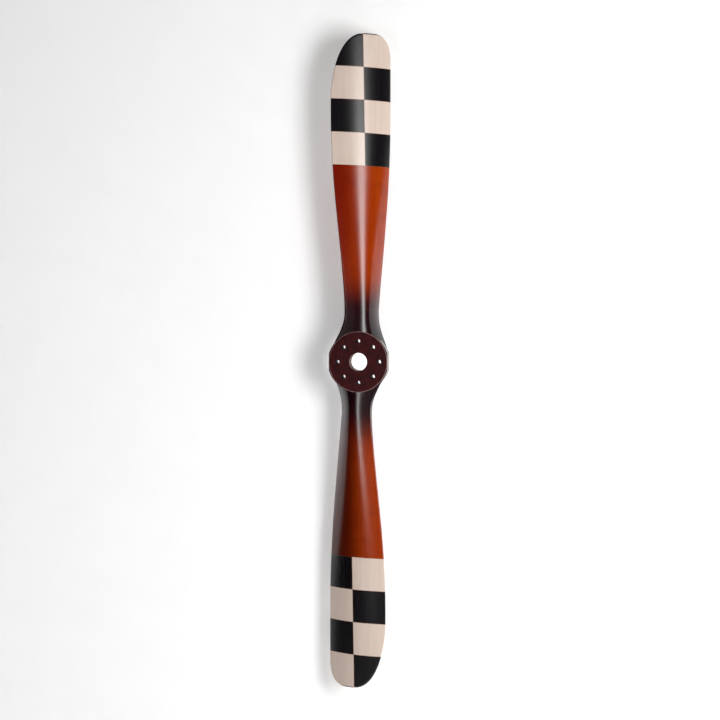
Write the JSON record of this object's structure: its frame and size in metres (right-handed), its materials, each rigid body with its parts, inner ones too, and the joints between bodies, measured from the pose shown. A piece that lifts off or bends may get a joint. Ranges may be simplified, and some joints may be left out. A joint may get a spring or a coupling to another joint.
{
  "type": "wooden propeller",
  "caption": "Carved wooden propeller with two twisted blades, a round drilled hub and painted checkered tips, built up from glued boards.",
  "frame": {"origin": "on the shaft axis, halfway through the hub", "axes": "+Z along the upper blade, +Y along the shaft axis towards the rear face of the hub, +X to the right seen from the front"},
  "size_m": [0.1148, 0.054, 1.23],
  "materials": {
    "lacquered_mahogany": "gloss lacquer",
    "stained_hub_face": "matte stain"
  },
  "bodies": {
    "root": {"board_1_front": "lacquered_mahogany", "board_2": "lacquered_mahogany", "board_3": "lacquered_mahogany", "board_4": "lacquered_mahogany", "board_5": "lacquered_mahogany", "board_6": "lacquered_mahogany", "board_7_rear": "lacquered_mahogany", "front_hub_facing": "stained_hub_face", "rear_hub_facing": "stained_hub_face"}
  },
  "joints": []
}
